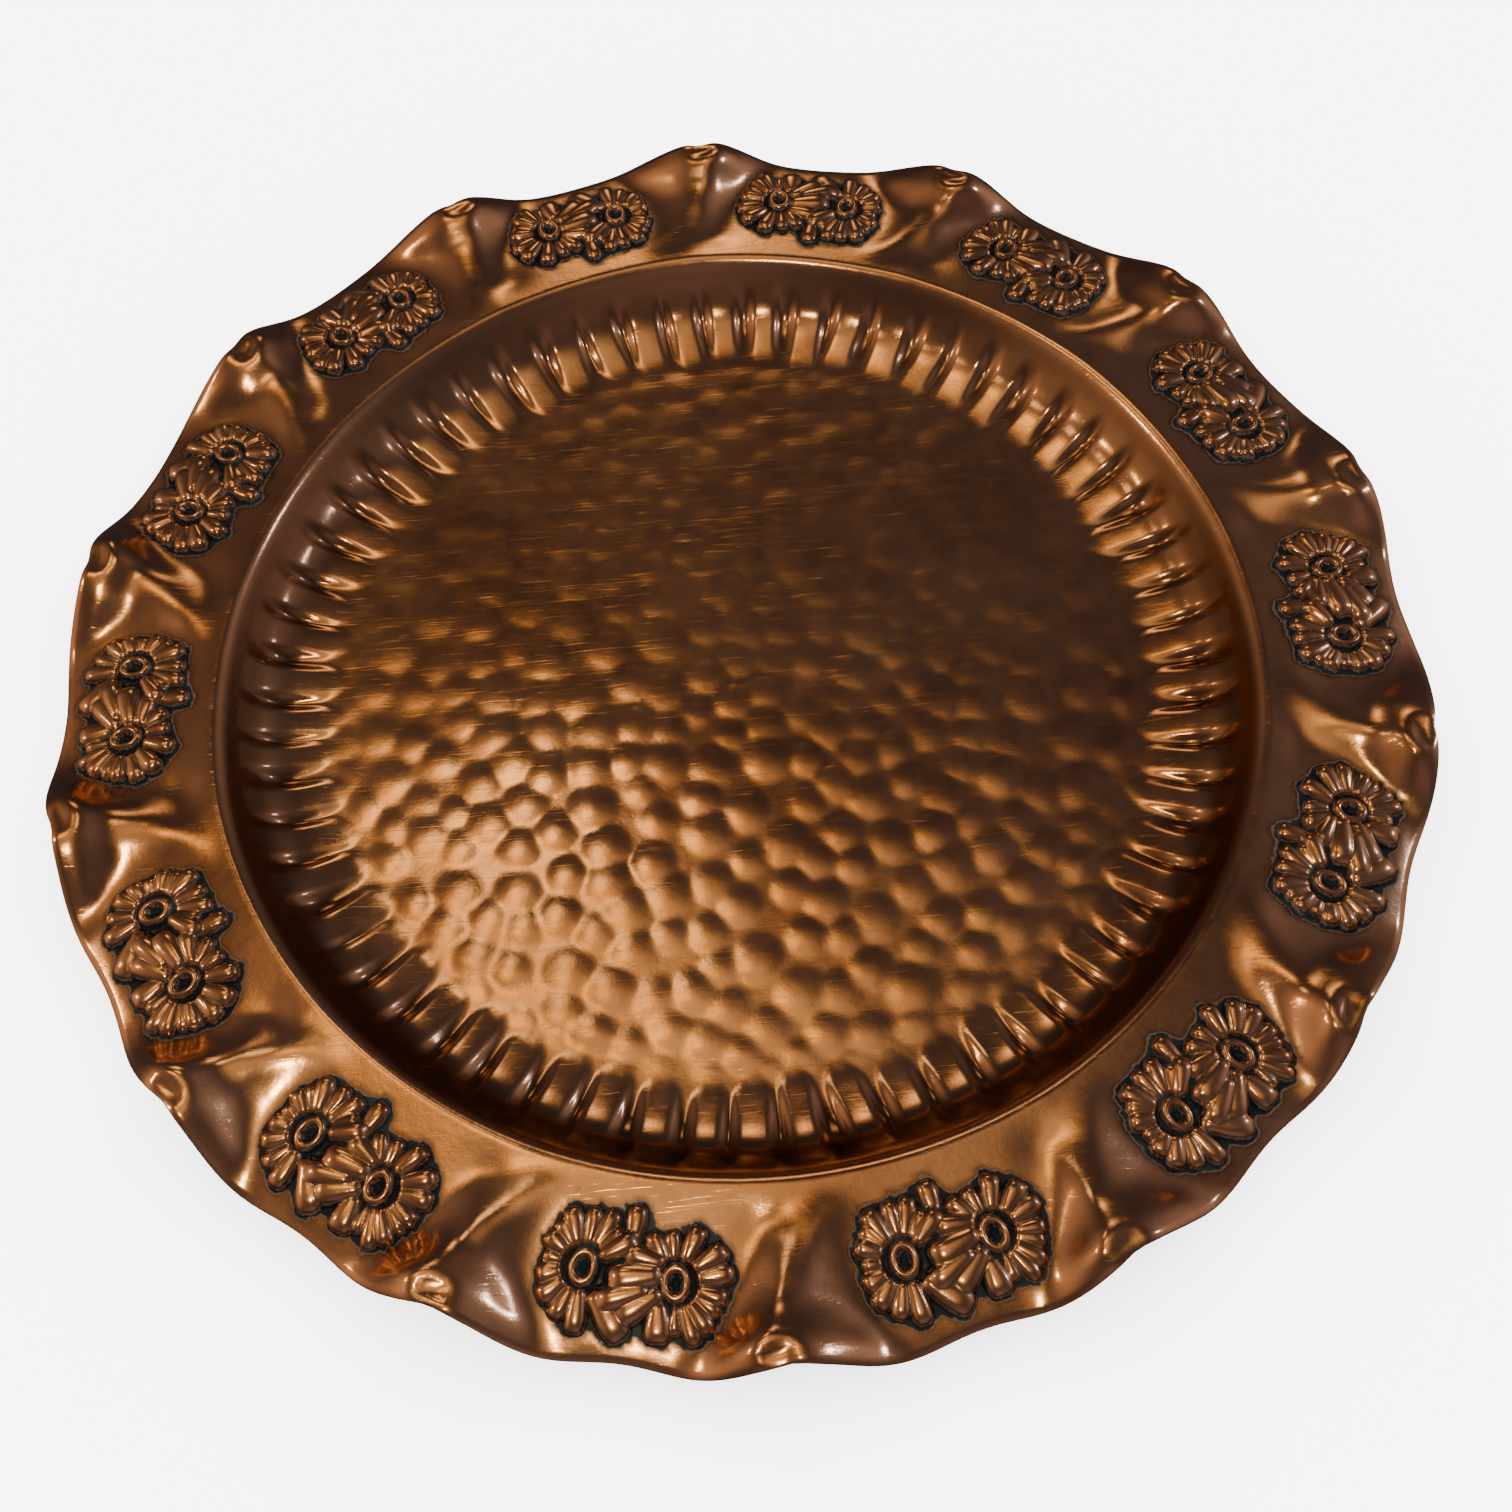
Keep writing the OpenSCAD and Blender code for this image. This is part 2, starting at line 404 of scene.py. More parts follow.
def mark_height(x, y):
    """Height of the nearest two bumps over the flat ground, blended where they meet."""
    dx = x[:, None] - marks[:, 0]
    dy = y[:, None] - marks[:, 1]
    low = (dx * dx + dy * dy) / (2 * mark_curves) - mark_heights
    low.partition(1, axis=1)
    return -soft_min(soft_min(low[:, 0], low[:, 1], MARK_EDGE_BLEND), 0, MARK_EDGE_BLEND)


rib_turn = random.uniform(-RIB_TURN, RIB_TURN, RIBS) * RIB_PITCH
rib_slant = random.normal(0, RIB_SLANT, RIBS)
rib_wide = random.uniform(-RIB_WIDTH_VARIETY, RIB_WIDTH_VARIETY, RIBS)
rib_inner = random.uniform(*RIB_INNER_RANGE, RIBS)
rib_high = random.uniform(*RIB_HIGH_RANGE, RIBS)
top_r, top_z = rounded_profile(RIB_TOP, RIB_TOP_BLUR)
gap_r, gap_z = rounded_profile(GAP_BOTTOM, GAP_BOTTOM_BLUR)


def rib_share(r, a):
    """About 1 on the crown of a rib and 0 in a gap, and how far out its profile is moved."""
    nearest = np.round(a / RIB_PITCH).astype(int)
    share, shift = np.zeros(r.shape), np.zeros(r.shape)
    tip_r, tip_length = RIB_TIP_STRETCH
    for step in (-1, 0, 1):
        n = nearest + step
        i = n % RIBS
        off = a - n * RIB_PITCH - rib_turn[i] - rib_slant[i] * (r - RIB_MIDDLE_R)
        u = np.abs(off) / (RIB_PITCH / 2)
        tip = np.sqrt(np.clip((r - tip_r - rib_inner[i]) / tip_length, 0, 1))
        half = (RIB_HALF_WIDTH + rib_wide[i]) * (RIB_TIP_WIDTH + (1 - RIB_TIP_WIDTH) * tip)
        crown = 1 - RIB_CROWN * np.minimum(u / half, 1) ** 2
        here = smooth((half - u) / RIB_SIDE + 0.5) * crown
        shift = np.where(here > share, rib_inner[i] * (1 - along(r, RIB_SHIFT_STRETCH)), shift)
        share = np.maximum(share, here * rib_high[i])
    return share, shift


def well_height(x, y, r, a):
    """The hammered floor, the ribs in the bend and the straight wall."""
    share, shift = rib_share(r, a)
    gap = np.interp(r, gap_r, gap_z)
    top = np.interp(r - shift, top_r, top_z)
    bend = gap + (top - gap) * share
    wall = WALL_FOOT[1] + WALL_SLOPE * (r - WALL_FOOT[0])
    z = np.where(r > WALL_FOOT[0] + WALL_START, wall, bend)
    inside = r < sum(FLOOR_END_STRETCH)
    floor_share = 1 - along(r[inside], FLOOR_END_STRETCH)
    z[inside] += floor_share * mark_height(x[inside], y[inside])
    return z


# ---------------------------------------------------------------- the sheet
def sheet_height(x, y):
    """Height of the upper face: the wall and the rim meet at the rounded lip."""
    r, a = np.hypot(x, y), np.degrees(np.arctan2(y, x)) % 360
    well = well_height(x, y, r, a)
    rim = rim_height(r, a)
    hand = HAND_HEIGHT * np.sin(x / HAND_LENGTHS[0] + 1) * np.sin(y / HAND_LENGTHS[1])
    wavy = sum(height * np.sin(np.radians(waves * a + turn)) for waves, turn, height in LIP_WAVES)
    lip = soft_min(well + wavy * along(r, LIP_WAVE_STRETCH), rim, LIP_BLEND)
    face = np.where(r < LIP_R - LIP_REACH, well, lip)
    return face + hand * along(r, HAND_STRETCH) * off_panel(r, a)


def sheet_normal(x, y):
    e = 0.2
    zx = (sheet_height(x + e, y) - sheet_height(x - e, y)) / (2 * e)
    zy = (sheet_height(x, y + e) - sheet_height(x, y - e)) / (2 * e)
    n = np.stack([-zx, -zy, np.ones_like(zx)], -1)
    return n / np.linalg.norm(n, axis=1, keepdims=True)


def ring_radii(spacings):
    """Radii from the middle outwards, for [(up to, spacing)]."""
    radii, r = [], 0
    for limit, spacing in spacings:
        count = max(1, round((limit - r) / spacing))
        radii += list(r + (limit - r) * (np.arange(count) + 1) / count)
        r = limit
    return radii


def ring_count(r, finest, step):
    """Points round a ring: halved again and again towards the middle."""
    count = finest
    while count > FEWEST_POINTS and 2 * math.pi * r / count < CLOSEST_SHARE * step:
        count //= 2
    return count


def ring(r, count):
    """Points of a ring in plan, as their x and their y."""
    a = np.radians(np.arange(count) * 360 / count)
    return r * np.cos(a), r * np.sin(a)


def sheet_rings(finest, spacings, rim_rings, step):
    """The rings of one face in plan, from the middle to the edge."""
    rings = [ring(r, ring_count(r, finest, step)) for r in ring_radii(spacings)]
    start = spacings[-1][0]
    a = np.arange(finest) * 360 / finest
    for k in range(1, rim_rings + 1):
        rings.append(ring(start + (edge_radius(a) - EDGE_ROUND - start) * k / rim_rings, finest))
    return rings


def stitch(first, n, second, m, flip):
    """Faces between a ring of n points and the next one of m (n, or 2 n)."""
    faces = []
    for j in range(n):
        k = (j + 1) % n
        if m == n:
            faces.append((first + j, second + j, second + k, first + k))
        else:
            mid, last = (2 * j + 1) % m, (2 * j + 2) % m
            faces.append((first + j, second + 2 * j, second + mid))
            faces.append((first + j, second + mid, second + last, first + k))
    return [tuple(reversed(f)) for f in faces] if flip else faces


def build_face(rings, under, start):
    """One face of the sheet: its points, its faces, and its last ring's start and length."""
    x = np.concatenate([[0.0]] + [ring[0] for ring in rings])
    y = np.concatenate([[0.0]] + [ring[1] for ring in rings])
    points = np.stack([x, y, sheet_height(x, y)], -1)
    if under:
        points = points - SHEET_T * sheet_normal(x, y)
    faces, at, n = [], start + 1, len(rings[0][0])
    for j in range(n):
        face = (start, at + j, at + (j + 1) % n)
        faces.append(tuple(reversed(face)) if under else face)
    for ring in rings[1:]:
        m = len(ring[0])
        faces += stitch(at, n, at + n, m, under)
        at, n = at + n, m
    return points, faces, at, n


def edge_ring(top, under, lean):
    """A ring of the cut edge, a share of lean down from the upper face's edge."""
    points = top + (under - top) * lean
    outward = points[:, :2] / np.linalg.norm(points[:, :2], axis=1, keepdims=True)
    points[:, :2] += outward * EDGE_ROUND
    return points


def make_mesh(name, points, faces):
    mesh = bpy.data.meshes.new(name)
    mesh.from_pydata([tuple(p) for p in np.asarray(points) * MM], [], faces)
    mesh.polygons.foreach_set("use_smooth", [True] * len(mesh.polygons))
    mesh.update()
    return mesh


def add_share(mesh, name, values):
    layer = mesh.attributes.new(name, "FLOAT", "POINT")
    layer.data.foreach_set("value", np.clip(values, 0, 1).astype(np.float32))


def build_sheet():
    """The closed sheet: its upper face, its coarser lower face and the cut edge."""
    top_rings = sheet_rings(EDGE_POINTS, TOP_RINGS, TOP_RIM_RINGS, TOP_STEP)
    low_rings = sheet_rings(EDGE_POINTS // 2, LOW_RINGS, LOW_RIM_RINGS, LOW_STEP)
    top, top_faces, top_at, n = build_face(top_rings, False, 0)
    low, low_faces, low_at, m = build_face(low_rings, True, len(top))
    top_edge, low_edge = top[-n:], low[-m:]
    fine_low = np.empty_like(top_edge)
    fine_low[0::2] = low_edge
    fine_low[1::2] = (low_edge + np.roll(low_edge, -1, axis=0)) / 2
    upper, lower = (edge_ring(top_edge, fine_low, share) for share in EDGE_RINGS)
    upper_at = len(top) + len(low)
    lower_at = upper_at + n
    faces = top_faces + low_faces
    faces += stitch(top_at, n, upper_at, n, False)
    faces += stitch(lower_at, m, upper_at, n, True)
    faces += stitch(low_at, m, lower_at, m, True)
    return make_mesh("hammered_sheet", np.vstack([top, low, upper, lower[0::2]]), faces)


# ---------------------------------------------------------------- the sprays
def petal_height(x, y, start, end, width, height, roll=0):
    """Height field of one petal: a domed top, rolled to one side, and steep sides."""
    ax, ay = end[0] - start[0], end[1] - start[1]
    length = math.hypot(ax, ay)
    s = ((x - start[0]) * ax + (y - start[1]) * ay) / (length * length)
    across = ((y - start[1]) * ax - (x - start[0]) * ay) / length
    widen = PETAL_BASE_WIDTH + (1 - PETAL_BASE_WIDTH) * smooth(s / PETAL_WIDEST)
    t = across / (PLUMP * width / 2 * widen)
    tip = np.clip((s - PETAL_WIDEST) / (1 - PETAL_WIDEST), 0, None)
    base = np.clip((PETAL_BASE[0] - s) / PETAL_BASE[1], 0, None)
    q = tip ** TIP_POWER + np.abs(t) ** SIDE_POWER + base ** BASE_POWER
    side = np.clip(1 - q, 0, 1) ** WALL_POWER
    dome = 1 - t * t - ((s - PETAL_WIDEST) / CROWN_LENGTH) ** 2
    inside = height * side * (1 - CROWN + CROWN * dome + roll * t)
    return np.where(q < 1, inside, 2 * (1 - q))


def eye_height(x, y, middle, turn):
    """The oval eyelet in the middle of a flower, with a dished hole; below 0 outside."""
    c, s = math.cos(turn), math.sin(turn)
    dx, dy = x - middle[0], y - middle[1]
    oval = np.hypot((dx * c + dy * s) / EYE_OUTER[0], (dy * c - dx * s) / EYE_OUTER[1])
    across_tube = (oval - (1 + EYE_HOLE) / 2) / ((1 - EYE_HOLE) / 2)
    square, steep = TUBE_POWERS
    tube = np.clip(1 - np.abs(across_tube) ** square, 0, 1) ** steep * EYE_H
    hole = EYE_FLOOR + EYE_DISH * (oval / EYE_HOLE) ** 2
    inside = np.where(oval < EYE_HOLE, hole, np.maximum(tube, EYE_FLOOR))
    return np.where(oval < 1, inside, -1)


def backing_height(x, y):
    """The plate behind the petals; below 0 outside it."""
    (bridge_x, bridge_y), half_height, slimness = BRIDGE
    inside = half_height - np.hypot((x - bridge_x) * slimness, y - bridge_y)
    for middle, _, _ in FLOWERS:
        inside = np.maximum(inside, BACKING_R - np.hypot(x - middle[0], y - middle[1]))
    rounded = BACKING_H * np.sqrt(np.clip(inside / BACKING_EDGE, 0, 1))
    return np.where(inside > 0, rounded, inside)


def spray_height(x, y):
    """Height field of a whole spray; below 0 outside it."""
    z = backing_height(x, y)
    for middle, eye_turn, petals in FLOWERS:
        for direction, reach, width, height in petals:
            way = np.array([math.cos(math.radians(direction)), math.sin(math.radians(direction))])
            start, end = np.array(middle) + PETAL_START * way, np.array(middle) + reach * way
            roll = random.uniform(-PETAL_ROLL, PETAL_ROLL)
            z = np.maximum(z, petal_height(x, y, start, end, width, height, roll))
        z = np.maximum(z, eye_height(x, y, middle, eye_turn))
    for start, end, width, height in LEAVES:
        z = np.maximum(z, petal_height(x, y, start, end, width, height))
    return z


def blurred(field, reach, step=SPRAY_STEP):
    """The height field averaged over about reach mm each way."""
    n = int(round(2 * reach / step))
    steps = np.arange(-n, n + 1) * step
    kernel = np.exp(-((steps / reach) ** 2))
    kernel /= kernel.sum()

    def blur_line(line):
        return np.convolve(np.pad(line, n, mode="edge"), kernel, "valid")

    return np.apply_along_axis(blur_line, 1, np.apply_along_axis(blur_line, 0, field))


def spray_patina_and_shade(z):
    """How dark a spray is: tarnish in its crevices and near the panel, and painted shade on its steep
    sides.
    """
    share = np.zeros(z.shape)
    for reach, start, over in CREVICES:
        crevice = (blurred(np.maximum(z, 0), reach) - z - start) / over
        share = np.maximum(share, np.clip(crevice, 0, 1))
    # Painted shade: the steeper a petal's side, the darker it is painted
    steep = np.hypot(*np.gradient(z, SPRAY_STEP))
    share = np.maximum(share, STEEP_SIDE_SHADE * along(steep, STEEP_STRETCH))
    return np.maximum(share, 1 - along(z, FOOT_STRETCH))


def field_mesh(x, y, z, used):
    """Points and faces of the grid's cells that touch a used point, and which points they are."""
    cells = used[:-1, :-1] | used[1:, :-1] | used[:-1, 1:] | used[1:, 1:]
    corners = np.zeros(x.shape, bool)
    for dx in (0, 1):
        for dy in (0, 1):
            corners[dx:dx + cells.shape[0], dy:dy + cells.shape[1]] |= cells
    number = np.full(x.shape, -1)
    number[corners] = np.arange(corners.sum())
    points = np.stack([x[corners], y[corners], z[corners]], -1)
    i, j = np.nonzero(cells)
    quads = np.stack([number[i, j], number[i + 1, j], number[i + 1, j + 1], number[i, j + 1]], -1)
    return points, [tuple(int(v) for v in quad) for quad in quads], corners


def close_below(points, faces):
    """Closes the spray's back: a short skirt below its border, and a flat face."""
    after = {}
    for face in faces:
        for a, b in zip(face, face[1:] + face[:1]):
            after.setdefault(a, set()).add(b)
    border = {b: a for a in after for b in after[a] if a not in after.get(b, ())}
    loops = []
    while border:
        start, here = next(iter(border.items()))
        loop = [start]
        del border[start]
        while here != start and here in border:
            loop.append(here)
            here = border.pop(here)
        loops.append(loop)
    for loop in loops:
        foot = points[loop]
        foot[:, 2] = SPRAY_FOOT
        first, count = len(points), len(loop)
        points = np.vstack([points, foot])
        for i in range(count):
            k = (i + 1) % count
            faces.append((loop[i], loop[k], first + k, first + i))
        faces.append(tuple(range(first, first + count)))
    return points, faces


def build_spray():
    """The spray's closed mesh, drawn flat: x clockwise along the rim, y outwards."""
    x, y = np.meshgrid(np.arange(*SPRAY_X, SPRAY_STEP), np.arange(*SPRAY_Y, SPRAY_STEP), indexing="ij")
    z = blurred(np.maximum(spray_height(x, y), SPRAY_SEAT), SPRAY_BLUR)
    points, faces, corners = field_mesh(x, y, z, z > SPRAY_SEAT + SPRAY_BORDER)
    points, faces = close_below(points, faces)
    mesh = make_mesh("spray_relief", points, faces)
    share = np.zeros(len(points))
    share[:corners.sum()] = spray_patina_and_shade(z)[corners]
    add_share(mesh, "patina_and_shade", share)
    return mesh


# ---------------------------------------------------------------- materials
class Nodes:
    """Short calls for building one material's nodes."""

    def __init__(self, name):
        self.material = bpy.data.materials.new(name)
        self.material.use_nodes = True
        self.tree = self.material.node_tree
        self.shader = self.tree.nodes["Principled BSDF"]

    def add(self, kind, **settings):
        node = self.tree.nodes.new(kind)
        for key, value in settings.items():
            setattr(node, key, value)
        return node

    def wire(self, value, socket):
        if isinstance(value, bpy.types.NodeSocket):
            self.tree.links.new(value, socket)
        else:
            socket.default_value = value

    def maths(self, operation, a, b=0.0, clamp=False):
        node = self.add("ShaderNodeMath", operation=operation, use_clamp=clamp)
        self.wire(a, node.inputs[0])
        self.wire(b, node.inputs[1])
        return node.outputs[0]

    def place(self):
        return self.add("ShaderNodeTexCoord").outputs["Object"]

    def share(self, name):
        """A share from 0 to 1 that the mesh carries at its points."""
        return self.add("ShaderNodeAttribute", attribute_name=name).outputs["Fac"]

    def noise(self, place, scale, detail=3, roughness=0.5):
        node = self.add("ShaderNodeTexNoise")
        self.wire(place, node.inputs["Vector"])
        node.inputs["Scale"].default_value = scale
        node.inputs["Detail"].default_value = detail
        node.inputs["Roughness"].default_value = roughness
        return node.outputs["Fac"]

    def ramp(self, value, low, high, to_low=0.0, to_high=1.0):
        node = self.add("ShaderNodeMapRange")
        self.wire(value, node.inputs["Value"])
        limits = {"From Min": low, "From Max": high, "To Min": to_low, "To Max": to_high}
        for socket, number in limits.items():
            node.inputs[socket].default_value = number
        return node.outputs["Result"]

    def mix(self, share, a, b):
        node = self.add("ShaderNodeMix", data_type="RGBA")
        self.wire(share, node.inputs["Factor"])
        self.wire(a, node.inputs[6])
        self.wire(b, node.inputs[7])
        return node.outputs[2]

    def stretched(self, place, turn, scale):
        node = self.add("ShaderNodeMapping")
        self.wire(place, node.inputs["Vector"])
        node.inputs["Rotation"].default_value = (0, 0, turn)
        node.inputs["Scale"].default_value = scale
        return node.outputs["Vector"]

    def bump(self, height, distance, normal=None):
        node = self.add("ShaderNodeBump")
        self.wire(height, node.inputs["Height"])
        node.inputs["Distance"].default_value = distance
        node.inputs["Strength"].default_value = 1.0
        if normal is not None:
            self.wire(normal, node.inputs["Normal"])
        return node.outputs["Normal"]


COPPER = (0.80, 0.47, 0.29, 1)
COPPER_BROWN = (0.52, 0.27, 0.16, 1)
COPPER_PINK = (0.72, 0.41, 0.30, 1)
# Colour of the painted shade in the well's gaps between ribs and on its wall
COPPER_WELL_SHADE = (0.09, 0.048, 0.032, 1)
# Black and green of the tarnish, also painted on the sprays' steep sides as shade
PATINA_AND_SHADE = (0.005, 0.007, 0.009, 1)
PATINA_AND_SHADE_GREEN = (0.010, 0.018, 0.018, 1)
# How much the pink mottling, the brown specks and the painted shade in the well's gaps and on its wall
# colour the metal
PINK_SHARE = 0.35
SPECK_SHARE = 0.55
WELL_SHADE_SHARE = 0.8
# Scales of the patterns, in waves to the metre. The lumps' is also the tarnish's.
CLOUD_SCALE = 14
GREEN_SCALE = 60
MOTTLE_SCALE = 90
LUMP_SCALE = 260
SPECK_SCALE = 420
GRAIN_SCALE = 1500
# Two sets of scratches: their turns in radians, and the stretched waves they are cut from
SCRATCH_TURNS = (0.5, -0.9)
SCRATCH_SCALE = (40, 1200, 300)
# Bump depths in metres
SCRATCH_DEPTH = 0.00001
LUMP_HEIGHT = 0.00005
GRAIN_HEIGHT = 0.000012
# What is added to the roughness on planished metal, and on tarnish and the painted side shade
PLANISHED_ROUGHNESS = 0.02
PATINA_AND_SHADE_ROUGHNESS = 0.18


def copper_tone(n, place, mottle):
    """The bare metal's colour: clouds of brown, pink mottling and specks, with painted shade in the well's
    gaps and on its wall.
    """
    cloud = n.ramp(n.noise(place, CLOUD_SCALE, 4, 0.55), 0.35, 0.7)
    tone = n.mix(cloud, COPPER, COPPER_BROWN)
    tone = n.mix(n.maths("MULTIPLY", mottle, PINK_SHARE), tone, COPPER_PINK)
    specks = n.ramp(n.noise(place, SPECK_SCALE, 2), 0.70, 0.76)
    tone = n.mix(n.maths("MULTIPLY", specks, SPECK_SHARE), tone, COPPER_BROWN)
    # Painted shade: the well's gaps between ribs and its wall are darkened toward this colour
    return n.mix(n.maths("MULTIPLY", n.share("well_shade"), WELL_SHADE_SHARE), tone, COPPER_WELL_SHADE)


def patina_and_shade_share(n, place, reach):
    """How thick the black tarnish and, on the sprays, the painted shade of steep sides lie, in uneven
    patches.
    """
    patchy = n.ramp(n.noise(place, LUMP_SCALE, 4, 0.65), 0.25, 0.75, 0.55, 1.3)
    patina_and_shade = n.maths("MULTIPLY", n.share("patina_and_shade"), reach)
    return n.maths("MULTIPLY", patina_and_shade, patchy, clamp=True)


def patina_and_shade_colour(n, place):
    green = n.ramp(n.noise(place, GREEN_SCALE, 2), 0.45, 0.7)
    return n.mix(green, PATINA_AND_SHADE, PATINA_AND_SHADE_GREEN)


def copper_roughness(n, roughness, mottle, grain, patina_and_shade):
    mottled = n.ramp(mottle, 0, 1, roughness - 0.03, roughness + 0.05)
    rough = n.maths("ADD", mottled, n.ramp(grain, 0.3, 0.7, -0.015, 0.02))
    rough = n.maths("ADD", rough, n.maths("MULTIPLY", patina_and_shade, PATINA_AND_SHADE_ROUGHNESS))
    return n.maths("ADD", rough, n.maths("MULTIPLY", n.share("planished"), PLANISHED_ROUGHNESS))


def copper_relief(n, place, grain):
    """Fine scratches, faint lumps and grain, as bump."""
    scratches = n.add("ShaderNodeMath", operation="MAXIMUM")
    for socket, turn in zip(scratches.inputs, SCRATCH_TURNS):
        fine = n.noise(n.stretched(place, turn, SCRATCH_SCALE), 1.0, 3, 0.7)
        n.wire(n.ramp(fine, 0.62, 0.72), socket)
    scratched = n.bump(scratches.outputs[0], -SCRATCH_DEPTH)
    lumpy = n.bump(n.noise(place, LUMP_SCALE), LUMP_HEIGHT, scratched)
    return n.bump(grain, GRAIN_HEIGHT, lumpy)


def copper_material(name, roughness, patina_and_shade_reach):
    n = Nodes(name)
    place = n.place()
    mottle = n.ramp(n.noise(place, MOTTLE_SCALE, 5, 0.6), 0.35, 0.75)
    grain = n.noise(place, GRAIN_SCALE, 3, 0.6)
    patina_and_shade = patina_and_shade_share(n, place, patina_and_shade_reach)
    # Tarnish, and on the sprays painted shade on steep sides, mixed over the metal
    colour = n.mix(patina_and_shade, copper_tone(n, place, mottle), patina_and_shade_colour(n, place))
    n.wire(colour, n.shader.inputs["Base Color"])
    n.wire(n.ramp(patina_and_shade, 0.65, 1, 1.0, 0.75), n.shader.inputs["Metallic"])
    n.wire(copper_roughness(n, roughness, mottle, grain, patina_and_shade), n.shader.inputs["Roughness"])
    n.wire(copper_relief(n, place, grain), n.shader.inputs["Normal"])
    return n.material


def plain_material(name, colour, roughness):
    n = Nodes(name)
    tint = n.ramp(n.noise(n.place(), 4, 2), 0.3, 0.7, 0.0, 0.12)
    darker = tuple(0.96 * c for c in colour[:3]) + (1,)
    n.wire(n.mix(tint, colour, darker), n.shader.inputs["Base Color"])
    n.shader.inputs["Roughness"].default_value = roughness
    return n.material


# ---------------------------------------------------------------- placing
def shown(name, mesh, material, node):
    """A piece that rides on the one body and stands for a CAD node."""
    piece = bpy.data.objects.new(name, mesh)
    bpy.context.scene.collection.objects.link(piece)
    if not mesh.materials:
        mesh.materials.append(material)
    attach(piece, "root")
    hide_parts(node)
    return piece


def spray_matrix(n):
    """Where spray n sits: its panel's plane, n counted clockwise from +Y."""
    turn = Matrix.Rotation(math.radians(90 - (n - 0.5) * LOBE_ANGLE), 4, "Z")
    seat = Matrix.Translation(Vector((SPRAY_R, 0, PANEL_Z)) * MM)
    fall = Matrix.Rotation(math.atan(PANEL_FALL), 4, "Y")
    return turn @ seat @ fall @ Matrix.Rotation(math.radians(-90), 4, "Z")


def spray_halo(x, y):
    """1 under a spray and close round its outline, fading out beyond."""
    xs, ys = np.arange(*HALO_X, HALO_STEP), np.arange(*HALO_Y, HALO_STEP)
    covered = spray_height(*np.meshgrid(xs, ys, indexing="ij")) > 0
    soft = blurred(covered.astype(float), HALO_REACH, HALO_STEP)
    i = np.clip(np.round((x - xs[0]) / HALO_STEP).astype(int), 0, len(xs) - 1)
    j = np.clip(np.round((y - ys[0]) / HALO_STEP).astype(int), 0, len(ys) - 1)
    return smooth(soft[i, j] * HALO_GAIN)


def point_values(mesh, name):
    """A vector for each of the mesh's points, in rows."""
    values = np.empty(len(mesh.vertices) * 3)
    mesh.vertices.foreach_get(name, values)
    return values.reshape(-1, 3)


def sheet_shares(mesh):
    """How dark the upper face is: tarnish round a spray's foot, and painted shade in the well's gaps and
    on its wall.
    """
    x, y, _ = point_values(mesh, "co").T / MM
    r, a = np.hypot(x, y), np.degrees(np.arctan2(y, x)) % 360
    halo = np.where(r > LIP_R, spray_halo(*spray_place(r, a)), 0)
    share, _ = rib_share(r, a)
    # Painted shade in the gaps between ribs and on the wall, painted lighter toward +Y
    in_gap = (1 - share) * along(r, GAP_IN_STRETCH) * (1 - along(r, GAP_OUT_STRETCH))
    wall = along(r, WALL_IN_STRETCH) * (1 - along(r, WALL_OUT_STRETCH))
    well_shade = np.maximum(GAP_SHARE * in_gap, wall) * (1 - FAR_SHARE * along(y, FAR_STRETCH))
    upper = point_values(mesh, "normal")[:, 2] > 0
    add_share(mesh, "patina_and_shade", halo * upper)
    add_share(mesh, "well_shade", well_shade * upper)
    add_share(mesh, "planished", 1 - along(r, PLANISHED_STRETCH))


sheet_finish = copper_material("aged_copper", 0.165, 1.4)
spray_finish = copper_material("aged_struck_copper", 0.17, 1.7)
sheet_mesh = build_sheet()
sheet_shares(sheet_mesh)
shown("hammered_tray", sheet_mesh, sheet_finish, "tray_sheet")
spray_mesh = build_spray()
for number in range(1, LOBES + 1):
    label = "flower_spray_%02d" % number
    piece = shown("struck_" + label, spray_mesh, spray_finish, label)
    piece.matrix_world = spray_matrix(number)

# ---------------------------------------------------------------- studio, in metres
CAMERA_AT = (-0.0041, -0.2106, 0.3820)
CAMERA_AIM = (0.0025, -0.0307, 0.0173)
CAMERA_ROLL = -3.35
CAMERA_LENS = 38.08
SENSOR_WIDTH = 36
FLOOR_HALF = 6
FLOOR_GAP = 0.0004

# Four small square lamps that aim at the middle of the tray, for the sharpest
# highlights: [name, place, power in watts, colour]
LAMP_SIDE = 0.07
WARM = (1.0, 0.70, 0.30)
COOL = (0.85, 0.93, 1.0)
LAMPS = [
    ("lamp_above", (-0.11, 0.1, 0.36), 0.035, WARM),
    ("lamp_front", (-0.15, -0.3, 1.0), 1.3, WARM),
    ("lamp_left", (-0.95, 0.1, 0.8), 1.0, WARM),
    ("lamp_right", (0.95, 0.15, 0.7), 0.7, COOL),
]

# The surround is one pale colour, except in mirrored rays: they see a dim room with
# glows, as [direction, tightness, colour]. A bright one and two faint ones are
# overhead, a bright one is high beyond the far side, two broad ones are to the left
# and right, and the last, the faintest, is behind the camera.
PALE = (8, 8, 8)
ROOM_DARK = (0.045, 0.040, 0.044)
GLOWS = [
    ((-0.21, 0.26, 1), 170, (3.2, 1.85, 0.46)),
    ((0.04, 0.17, 1), 80, (0.5, 0.32, 0.13)),
    ((-0.02, -0.06, 1), 40, (0.6, 0.4, 0.17)),
    ((0, 1.45, 1), 170, (3.2, 2.0, 0.75)),
    ((-1, 0.1, 0.5), 8, (0.65, 0.40, 0.21)),
    ((1, 0.2, 0.4), 8, (0.4, 0.30, 0.24)),
    ((0.1, -1, 0.5), 8, (0.19, 0.13, 0.10)),
]


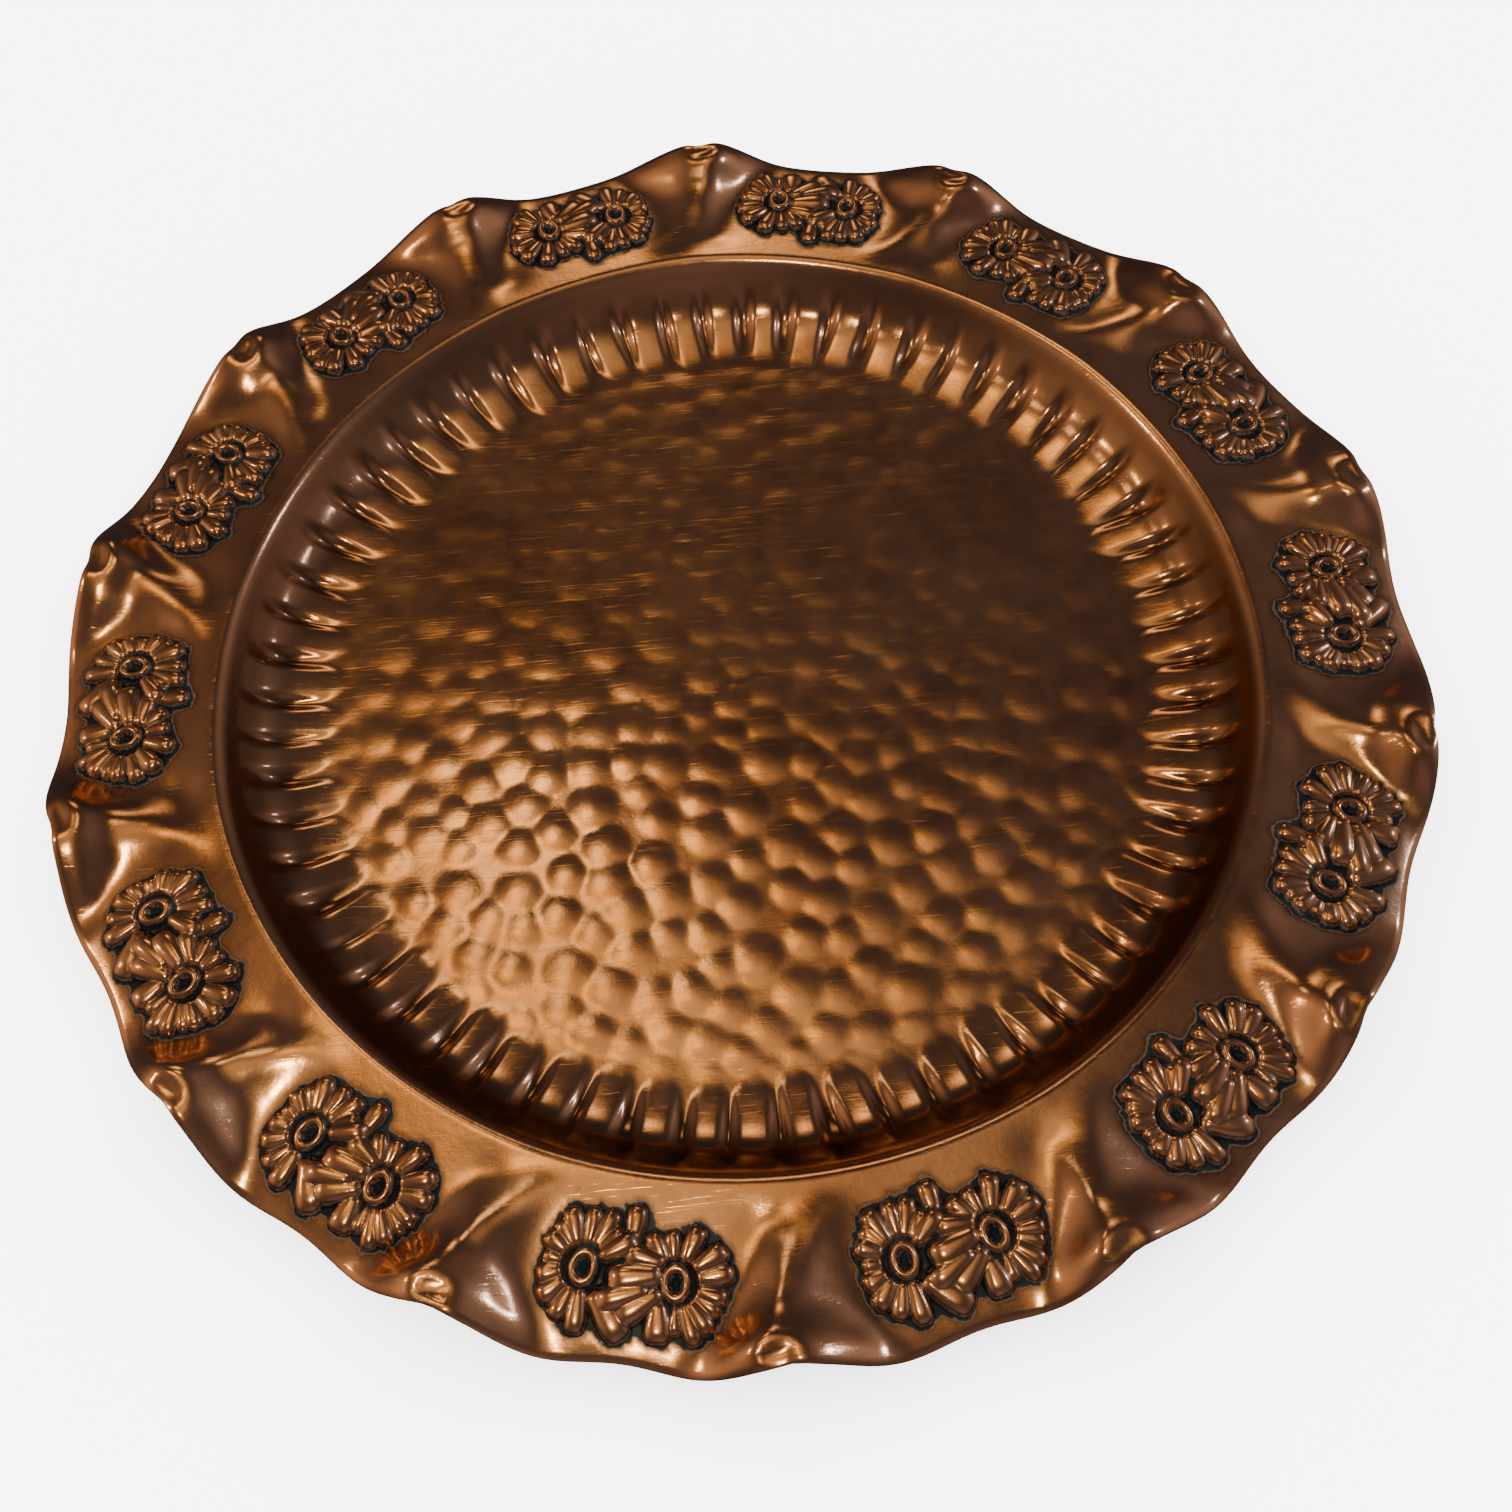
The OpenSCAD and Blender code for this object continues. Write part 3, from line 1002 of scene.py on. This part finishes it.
def add_camera():
    data = bpy.data.cameras.new("camera")
    data.lens, data.sensor_width = CAMERA_LENS, SENSOR_WIDTH
    camera = bpy.data.objects.new("camera", data)
    bpy.context.scene.collection.objects.link(camera)
    camera.location = CAMERA_AT
    aim = (Vector(CAMERA_AIM) - Vector(CAMERA_AT)).to_track_quat("-Z", "Y")
    camera.rotation_mode = "QUATERNION"
    camera.rotation_quaternion = aim @ Quaternion((0, 0, 1), math.radians(CAMERA_ROLL))
    data.clip_start, data.clip_end = 0.01, 50
    bpy.context.scene.camera = camera


def add_lamp(name, place, power, colour):
    data = bpy.data.lights.new(name, "AREA")
    data.shape, data.size, data.size_y = "RECTANGLE", LAMP_SIDE, LAMP_SIDE
    data.energy, data.color = power, colour
    lamp = bpy.data.objects.new(name, data)
    bpy.context.scene.collection.objects.link(lamp)
    lamp.location = place
    lamp.rotation_euler = (-Vector(place)).to_track_quat("-Z", "Y").to_euler()


def add_glow(tree, place, behind, direction, tightness, colour):
    """Adds one glow to the colour behind it: brightest in its direction, falling off round it."""
    dot = tree.nodes.new("ShaderNodeVectorMath")
    dot.operation = "DOT_PRODUCT"
    tree.links.new(place, dot.inputs[0])
    dot.inputs[1].default_value = Vector(direction).normalized()
    value = dot.outputs["Value"]
    for operation, number in (("SUBTRACT", 1.0), ("MULTIPLY", tightness), ("EXPONENT", None)):
        node = tree.nodes.new("ShaderNodeMath")
        node.operation = operation
        tree.links.new(value, node.inputs[0])
        if number is not None:
            node.inputs[1].default_value = number
        value = node.outputs[0]
    glow = tree.nodes.new("ShaderNodeVectorMath")
    glow.operation = "MULTIPLY_ADD"
    tree.links.new(value, glow.inputs[0])
    glow.inputs[1].default_value = colour
    if isinstance(behind, bpy.types.NodeSocket):
        tree.links.new(behind, glow.inputs[2])
    else:
        glow.inputs[2].default_value = behind
    return glow.outputs[0]


def add_world():
    """A pale surround that lights the scene, and the room of glows that the metal mirrors."""
    world = bpy.data.worlds.new("room")
    bpy.context.scene.world = world
    world.use_nodes = True
    tree = world.node_tree
    place = tree.nodes.new("ShaderNodeTexCoord").outputs["Generated"]
    mirrored = ROOM_DARK
    for direction, tightness, colour in GLOWS:
        mirrored = add_glow(tree, place, mirrored, direction, tightness, colour)
    choose = tree.nodes.new("ShaderNodeMix")
    choose.data_type = "RGBA"
    tree.links.new(tree.nodes.new("ShaderNodeLightPath").outputs["Is Glossy Ray"], choose.inputs["Factor"])
    choose.inputs[6].default_value = PALE + (1,)
    tree.links.new(mirrored, choose.inputs[7])
    tree.links.new(choose.outputs[2], tree.nodes["Background"].inputs["Color"])
    tree.nodes["Background"].inputs["Strength"].default_value = 1.0
    # Lamp-style sampling would light the metal with the floor's pale sky
    world.cycles.sampling_method = "NONE"


def add_floor():
    """A pale floor just below the tray, which the metal doesn't mirror."""
    mesh = bpy.data.meshes.new("studio_floor")
    s = FLOOR_HALF
    mesh.from_pydata([(-s, -s, 0), (s, -s, 0), (s, s, 0), (-s, s, 0)], [], [(0, 1, 2, 3)])
    floor = bpy.data.objects.new("studio_floor", mesh)
    bpy.context.scene.collection.objects.link(floor)
    floor.location = (0, 0, cad_box[0][2] - FLOOR_GAP)
    mesh.materials.append(plain_material("pale_floor", (0.94, 0.94, 0.94, 1), 0.6))
    floor.visible_glossy = False


add_camera()
add_world()
add_floor()
for lamp in LAMPS:
    add_lamp(*lamp)
